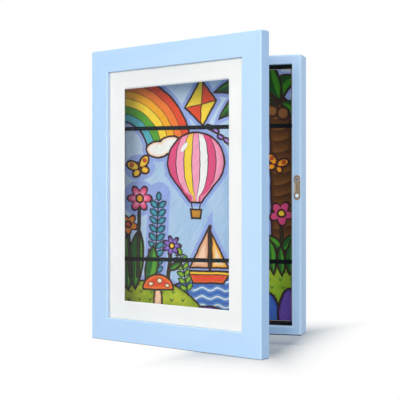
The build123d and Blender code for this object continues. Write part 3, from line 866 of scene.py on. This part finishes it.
def waterColour(art):
    look = pictureLook["sea"]
    bow = wave(part(art.point, 0), *look["bow"])
    crest = sine(times(plus(part(art.point, 1), bow), look["crests"]))
    water = inked(slope(crest, -0.6, 0.75), "denim", "blue")
    return inked(slope(crest, -0.86, -0.97), water, "white")


def layLeaves(art, leaves, light="leaf", dark="forest", depth=3.0):
    for away, side in leaves:
        art.lay(away, art.sided(side, light, dark), dark, depth=depth)


def leavesOf(art, places):
    # made one by one, so that each is laid before the next is begun
    return (art.leaf(*place) for place in places)


def layFlower(art, centre, radius, count, turn, fill, shade, heart, foot, leaves):
    art.lay(art.stroke(foot, centre, 1.6, 1.2), "leaf", "forest")
    layLeaves(art, leavesOf(art, leaves))
    bloom = art.petals(*centre, radius * 0.55, radius * 0.45, count, turn)
    art.lay(bloom, fill, shade, depth=radius * 0.5)
    art.lay(art.round(*centre, radius * 0.3, radius * 0.3), heart, "orange", depth=2.0)


def laySprig(art, foot, turn, length, reach, spacing, fill, shade):
    across, upward = art.turned(*foot, turn)
    local = pair(across, upward)
    step = minus(modulo(upward, spacing), spacing * 0.5)
    folded = pair(absolute(across), step)
    base, tip = (0.2, -spacing * 0.44), (reach, spacing * 0.38)
    blades = art.leaf(base, tip, spacing * 0.36, point=folded)[0]
    ends = most(minus(upward, length), times(upward, -1.0))
    art.lay(art.stroke((0, -6), (0, length + 2), 0.4, point=local), "bark", line=0.5)
    art.lay(most(blades, ends), fill, shade, line=0.7, depth=3.4)
    tip = art.leaf((0, length - 1), (0, length + 10), 3.2, point=local)[0]
    art.lay(tip, fill, shade, line=0.7, depth=3.4)


def layButterfly(art, x, y, size, turn, wing, wingShade, spot):
    across, upward = art.turned(x, y, turn)
    local = pair(across, upward)
    folded = pair(absolute(across), upward)
    wings = [art.round(*[size * share for share in place], lean, point=folded)
             for *place, lean in pictureLook["wings"]]
    art.lay(least(*wings), wing, wingShade, depth=size * 0.25)
    eye = art.round(*[size * share for share in pictureLook["eye"]], point=folded)
    art.lay(eye, spot, line=0.4)
    ends = [(0, size * share) for share in pictureLook["bodyEnds"]]
    art.lay(art.stroke(*ends, size * 0.07, point=local), "bark", line=0.5)


def drawSeaside(art):
    look = pictureLook
    height = part(art.point, 1)
    rainbow, radius = rainbowShape(art)
    cloud = art.merged(*[art.round(*place) for place in look["cloud"]])
    kite = art.corners(*look["kite"]["corners"])
    balloon = balloonShape(art)
    trunk = art.stroke(*look["trunk"])
    sails = [art.corners(*corners) for corners, fill, shade in look["sails"]]
    fronds = list(leavesOf(art, look["fronds"]))
    halo = look["halo"]
    art.outlineSky(
        rainbow, cloud, kite, balloon, trunk, *sails, *[away for away, side in fronds],
        art.round(*halo["flower"]), art.stroke(*halo["sprig"]), art.round(*halo["butterfly"]),
        art.round(*look["hills"][0][:4]))
    layRainbow(art, rainbow, radius)
    art.lay(cloud, "white", "peach")
    layKite(art, kite)
    art.lay(trunk, barkColour(art), "trunkDeep", depth=5.0)
    layLeaves(art, fronds, "frond", "frondDeep", 3.5)
    for x, y, size in look["nuts"]:
        art.lay(art.round(x, y, size, size), "brown", "trunkDeep", depth=3.0)
    layBalloon(art, balloon)
    layButterfly(art, *look["butterflies"][0])
    # boat on the water
    sea = most(art.round(*look["sea"]["round"]), plus(height, look["sea"]["level"]))
    water = waterColour(art)
    art.lay(sea, water)
    art.lay(art.stroke(*look["mast"]), "brown", "bark")
    for away, (corners, fill, shade) in zip(sails, look["sails"]):
        art.lay(away, fill, shade, depth=6.0)
    art.lay(art.corners(*look["hull"]), "red", "orange", depth=3.0)
    art.lay(art.corners(*look["gunwale"]), "amber", "yellow", line=0.6, depth=2.0)
    # ground, flowers and leaves
    grass = grassColour(art)
    # the right hill is painted darker: painted shade
    for *place, hillShade in look["hills"]:
        art.lay(art.round(*place), inked(hillShade, grass, "leaf"), "olive")
    for sprig in look["sprigs"]:
        laySprig(art, *sprig)
    layLeaves(art, leavesOf(art, look["bigLeaves"]))
    for flower in look["flowers"]:
        layFlower(art, *flower)
    layLeaves(art, leavesOf(art, look["footLeaves"]))
    layButterfly(art, *look["butterflies"][1])
    shroom = look["mushroom"]
    art.lay(art.stroke(*shroom["stem"]), "peach", "tan", depth=3.0)
    cap = most(art.round(*shroom["cap"]), minus(shroom["rim"], height))
    art.lay(cap, "red", "orange", depth=5.0)
    for x, y, size in shroom["spots"]:
        art.lay(art.round(x, y, size, size * 0.85), "white", "cream", line=0.5)
    for *place, fill, shade in look["stones"]:
        art.lay(art.round(*place), fill, shade)


def markerDrawing():
    material, shader, point = newMaterial("Marker drawing", markerLook["gloss"])
    page = mapped(point, turn=(math.radians(-90), 0, 0), scale=(1000, 0, 1000))
    shake = noise(page, markerLook["shake"], output="Color")
    drift = flat(markerLook["drift"], markerLook["drift"])
    hand = vectors("MULTIPLY_ADD", apart(shake, (0.5, 0.5, 0.5)), drift, page)
    washed = noise(mapped(page, turn=(0, 0, 0.5), scale=(1, 0.25, 1)), *markerLook["wash"])
    ground = inked(slope(washed, 0.35, 0.65), "sky", "skyDeep")
    # painted light: the sky turns paler toward the top and left, where the door and mat shade the
    # sheet
    upward, leftward = markerLook["shadeLift"]
    shadeLift = most(slope(part(page, 1), *upward), slope(part(page, 0), *leftward))
    ground = inked(shadeLift, ground, "skyPale")
    art = Drawing(hand, ground, noise(page, *markerLook["mottle"]))
    drawSeaside(art)
    swept = mapped(mapped(page, turn=(0, 0, 0.7)), scale=(1, 0.09, 1))
    strokes = slope(noise(swept, *markerLook["strokes"]), 0.32, 0.68)
    streaks = blendColours(strokes, tone(236, 236, 236), tone(255, 255, 255))
    toned = blendColours(1.0, art.colour, streaks, "MULTIPLY")
    specks = beside([page], "ShaderNodeTexVoronoi", {
        "Vector": page, "Scale": markerLook["specks"],
    })["Distance"]
    dots = slope(specks, 0.013, 0.007)
    colour = inked(dots, toned, "white")
    fibre = grouped(paperFibre, {"Point": point, **markerLook["fibre"]})
    rough = span(fibre["Height"], 0.4, 0.8, 0.7, 0.9)
    surfaced(shader, colour, rough, fibre["Height"], *markerLook["bump"])
    return material


print("node groups built")


# Materials on the CAD nodes

def ofHinges(*pieces):
    return [f"{level}_hinge_{piece}" for level in ("upper", "lower") for piece in pieces]


materials = {
    body + way: paintedWood(f"Painted {body} {way.lower()}", outline, way == "Level", onDoor)
    for body, outline, onDoor in (("case", caseOutline, False), ("door", doorOutline, True))
    for way in ("Upright", "Level")
}
materials.update({finish: fibreBoard(*look) for finish, look in boardLooks.items()})
materials.update({"drawing": markerDrawing(), "acrylic": clearAcrylic()})
materials.update({finish: fitting(*look) for finish, look in fittingLooks.items()})
finishes = {
    "caseUpright": ["case_left_wall", "case_right_wall"],
    "caseLevel": ["case_top_wall", "case_bottom_wall"],
    "doorUpright": ["door_left_rail", "door_right_rail"],
    "doorLevel": ["door_top_rail", "door_bottom_rail"],
    "hardboard": ["back_panel"],
    "blackBoard": ["backing_board"],
    "matCard": ["mat_board"],
    "paper": ["spare_sheets"],
    "drawing": ["drawing_sheet"],
    "acrylic": ["glazing"],
    "blackScrew": ["band_washers", "band_screws", "back_panel_screws"],
    "catchScrew": ["catch_plate_screws"],
    "plated": ["portrait_hanger_plate", "landscape_hanger_plate", "mat_tabs", "magnet_cup",
               *ofHinges("case_screws", "door_screws")],
    "bronzed": ["catch_plate"],
    "hinge": ofHinges("case_leaf", "door_leaf", "pin"),
    "rivet": ["hanger_rivets"],
    "magnet": ["catch_magnet"],
    "bumper": ["door_bumpers"],
    "nail": ["case_corner_nails", "door_corner_nails"],
}
for finish, names in finishes.items():
    for name in names:
        holder = nodes[name]
        if not holder.material_slots:
            holder.data.materials.append(None)
        for slot in holder.material_slots:
            slot.material = materials[finish]
print("materials set on", sum(len(names) for names in finishes.values()), "nodes")


# Pieces modelled here

def linked(name, held):
    holder = bpy.data.objects.new(name, held)
    scene.collection.objects.link(holder)
    return holder


def finishPiece(bm, name, material, body, sharpAngle=35):
    bmesh.ops.remove_doubles(bm, verts=bm.verts, dist=0.000001)
    bmesh.ops.recalc_face_normals(bm, faces=bm.faces)
    mesh = bpy.data.meshes.new(name)
    bm.to_mesh(mesh)
    bm.free()
    mesh.shade_smooth()
    mesh.set_sharp_from_angle(angle=math.radians(sharpAngle))
    mesh.materials.append(material)
    piece = linked(name, mesh)
    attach(piece, body)
    return piece


def picked(geometry, kind):
    return [item for item in geometry if isinstance(item, kind)]


def pushed(bm, faces, step):
    grown = bmesh.ops.extrude_face_region(bm, geom=faces)["geom"]
    bmesh.ops.translate(bm, verts=picked(grown, bmesh.types.BMVert), vec=step)
    return picked(grown, bmesh.types.BMFace)


def spun(bm, faces, centre):
    # a fold of the band round an upright axis
    parts = set(faces)
    for face in faces:
        parts.update(face.edges)
        parts.update(face.verts)
    last = bmesh.ops.spin(
        bm, geom=list(parts), cent=centre, axis=(0, 0, 1), angle=math.radians(-90),
        steps=bandLook["foldSteps"], use_duplicate=False)["geom_last"]
    return picked(last, bmesh.types.BMFace)


def bandSection(half):
    # across the band: ribbed faces, rounded selvedges
    thick, depth, ribs = bandLook["thickness"], bandLook["ribDepth"], bandLook["ribs"]
    edge, steps = thick * bandLook["selvedge"], bandLook["edgeSteps"]
    count = ribs * 4
    section = []
    for side in (1, -1):
        inner = (thick / 2 - depth) * side
        for step in range(count + 1):
            share = step / count
            z = (half - edge) * (1 - 2 * share) * side
            rib = depth * abs(math.cos(math.pi * (z / (2 * half)) * ribs))
            section.append((inner + rib * side, z))
        for step in range(1, steps):
            turn = math.pi * step / steps
            z = (-(half - edge) - edge * math.sin(turn)) * side
            section.append((inner * math.cos(turn), z))
    return section


def elasticBand(name, node):
    # pushed in along the left wall, folded, across the sheets, folded and out along the right wall
    low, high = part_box(node)
    thick, radius = bandLook["thickness"], bandLook["foldRadius"]
    half, middle = (high.z - low.z) / 2, (high.z + low.z) / 2
    left, turnY = low.x + thick / 2, high.y - thick / 2 - radius
    bm = bmesh.new()
    start = [bm.verts.new((left + x, low.y, middle + z)) for x, z in bandSection(half)]
    faces = [bm.faces.new(start)]
    faces = pushed(bm, faces, (0, turnY - low.y, 0))
    faces = spun(bm, faces, (left + radius, turnY, middle))
    faces = pushed(bm, faces, (high.x - low.x - thick - 2 * radius, 0, 0))
    faces = spun(bm, faces, (high.x - thick / 2 - radius, turnY, middle))
    pushed(bm, faces, (0, low.y - turnY, 0))
    weave = wovenElastic(name.capitalize() + " weave", middle, 2 * half)
    band = finishPiece(bm, name, weave, "case", 50)
    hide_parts(node)


elasticBand("upper_band", "upper_elastic_band")
elasticBand("lower_band", "lower_elastic_band")
print("bands made")


sheetLook = {"clearance": 0.0001, "edge": 0.00015}


def acrylicSheet():
    # the door's sheet, a hair off the mat so that light passes cleanly between them
    low, high = doorBox("glazing")
    high.y -= sheetLook["clearance"]
    bm = bmesh.new()
    bmesh.ops.create_cube(bm, size=1.0)
    bmesh.ops.scale(bm, verts=bm.verts, vec=high - low)
    bmesh.ops.translate(bm, verts=bm.verts, vec=(high + low) / 2)
    bmesh.ops.bevel(bm, geom=bm.edges, offset=sheetLook["edge"], segments=1, profile=0.5,
                    affect="EDGES", material=-1)
    bmesh.ops.transform(bm, matrix=doorPlace, verts=bm.verts)
    sheet = finishPiece(bm, "acrylic_sheet", materials["acrylic"], "door")
    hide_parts("glazing")


acrylicSheet()
print("acrylic sheet made")


# Floor, light and camera

studioLook = {
    "floorLevel": cadBounds[0][2],
    "floorSize": 6.0,
    "floor": tone(207, 202, 195),
    "floorSpeck": tone(212, 207, 200),
    "floorBounce": tone(150, 168, 188),
    "floorGloss": 0.12,
    "floorRoughness": 0.3,
    "fadeMiddle": 0.06,
    "fadeReach": (0.03, 0.045, 0.1),  # to the left, to the right, in depth
    "fade": (0.98, 2.58),  # where it starts to turn white and where it is white, in reaches
    "ambient": 0.57,
    "ambientColour": tone(200, 228, 255),
    "glossColour": tone(226, 240, 255),
    "lampTarget": (0, -0.06, 0),
}
lampLooks = {
    # degrees round from straight in front, degrees up, distance, side length,
    # share of full light on a facing surface, colour
    "Key": (-6, 11, 2.2, 0.9, 0.6, (1.0, 0.91, 0.8)),
    "Front": (18, 3, 2.4, 0.6, 0.17, (1.0, 0.93, 0.84)),
    "Fill": (140, 6, 2.0, 0.8, 0.17, (1.0, 0.93, 0.82)),
    "Top": (0, 80, 2.0, 1.2, 0.28, (1.0, 1.0, 1.0)),
}


def seenRays(path):
    # rays from the camera, off gloss and through the acrylic; the others only carry light
    return most(path["Is Camera Ray"],
                most(path["Is Glossy Ray"], path["Is Transmission Ray"]))


def makeFloor():
    bm = bmesh.new()
    bmesh.ops.create_grid(bm, x_segments=8, y_segments=8, size=studioLook["floorSize"] / 2)
    bmesh.ops.translate(bm, verts=bm.verts, vec=(0, 0, studioLook["floorLevel"]))
    mesh = bpy.data.meshes.new("Studio floor")
    bm.to_mesh(mesh)
    bm.free()
    floor = linked("Studio_floor", mesh)
    material, shader, point = newMaterial(
        "Studio floor", studioLook["floorGloss"], Roughness=studioLook["floorRoughness"])
    tree = material.node_tree
    specks = span(noise(point, *textures["floor"]), 0.3, 0.7)
    path = add(tree, "ShaderNodeLightPath").outputs
    white = blendColours(specks, studioLook["floor"], studioLook["floorSpeck"])
    colour = blendColours(path["Is Diffuse Ray"], white, studioLook["floorBounce"])
    join(colour, shader.inputs["Base Color"])
    # the floor turns white away from the frame's foot and keeps the shadow near it
    left, right, deep = studioLook["fadeReach"]
    x, y = minus(part(point, 0), studioLook["fadeMiddle"]), part(point, 1)
    across = most(over(x, -left), over(x, right))
    away = maths("SMOOTH_MAX", across, over(absolute(y), deep), 0.35)
    seen = seenRays(path)
    kept = span(away, *studioLook["fade"], 1.0, 0.0)
    fade = times(minus(1.0, times(kept, kept)), seen)
    glow = add(tree, "ShaderNodeEmission", {"Color": (1, 1, 1, 1), "Strength": 1.0})
    mixShaders(tree, fade, shader, glow)
    mesh.materials.append(material)


def makeLamp(name, azimuth, rise, away, size, level, colour):
    turn, rise = math.radians(azimuth), math.radians(rise)
    flatWay = math.cos(rise)
    way = Vector((math.sin(turn) * flatWay, -math.cos(turn) * flatWay, math.sin(rise)))
    lamp = bpy.data.lights.new(name, "AREA")
    lamp.shape, lamp.size, lamp.color = "SQUARE", size, colour
    lamp.energy = level * math.pi ** 2 * away ** 2  # this level at the target
    holder = linked(name, lamp)
    holder.location = Vector(studioLook["lampTarget"]) + way * away
    holder.rotation_euler = (-way).to_track_quat("-Z", "Y").to_euler()


def makeWorld():
    world = bpy.data.worlds.new("Studio")
    scene.world = world
    world.use_nodes = True
    tree = world.node_tree
    light = tree.nodes["Background"]
    light.inputs["Color"].default_value = studioLook["ambientColour"]
    light.inputs["Strength"].default_value = studioLook["ambient"]
    path = add(tree, "ShaderNodeLightPath").outputs
    shown = blendColours(path["Is Glossy Ray"], (1, 1, 1, 1), studioLook["glossColour"])
    plain = add(tree, "ShaderNodeBackground", {"Strength": 1.0, "Color": shown})
    mixShaders(tree, seenRays(path), light, plain, "World Output")


cameraLook = {
    "place": (0.3776, -1.2322, -0.00217),
    "turn": 17.512,
    "lens": 95.15,
    "sensor": 36.0,
    "shift": (0.0008, -0.008),
}


def makeCamera():
    camera = bpy.data.cameras.new("Camera")
    camera.sensor_width = cameraLook["sensor"]
    camera.lens = cameraLook["lens"]
    camera.shift_x, camera.shift_y = cameraLook["shift"]
    camera.clip_start = 0.01
    scene.camera = holder = linked("Camera", camera)
    holder.location = cameraLook["place"]
    holder.rotation_euler = (math.radians(90), 0, math.radians(cameraLook["turn"]))


makeFloor()
for lampName, lampLook in lampLooks.items():
    makeLamp(lampName, *lampLook)
makeWorld()
makeCamera()
scene.view_settings.view_transform = "Standard"
print("studio ready")
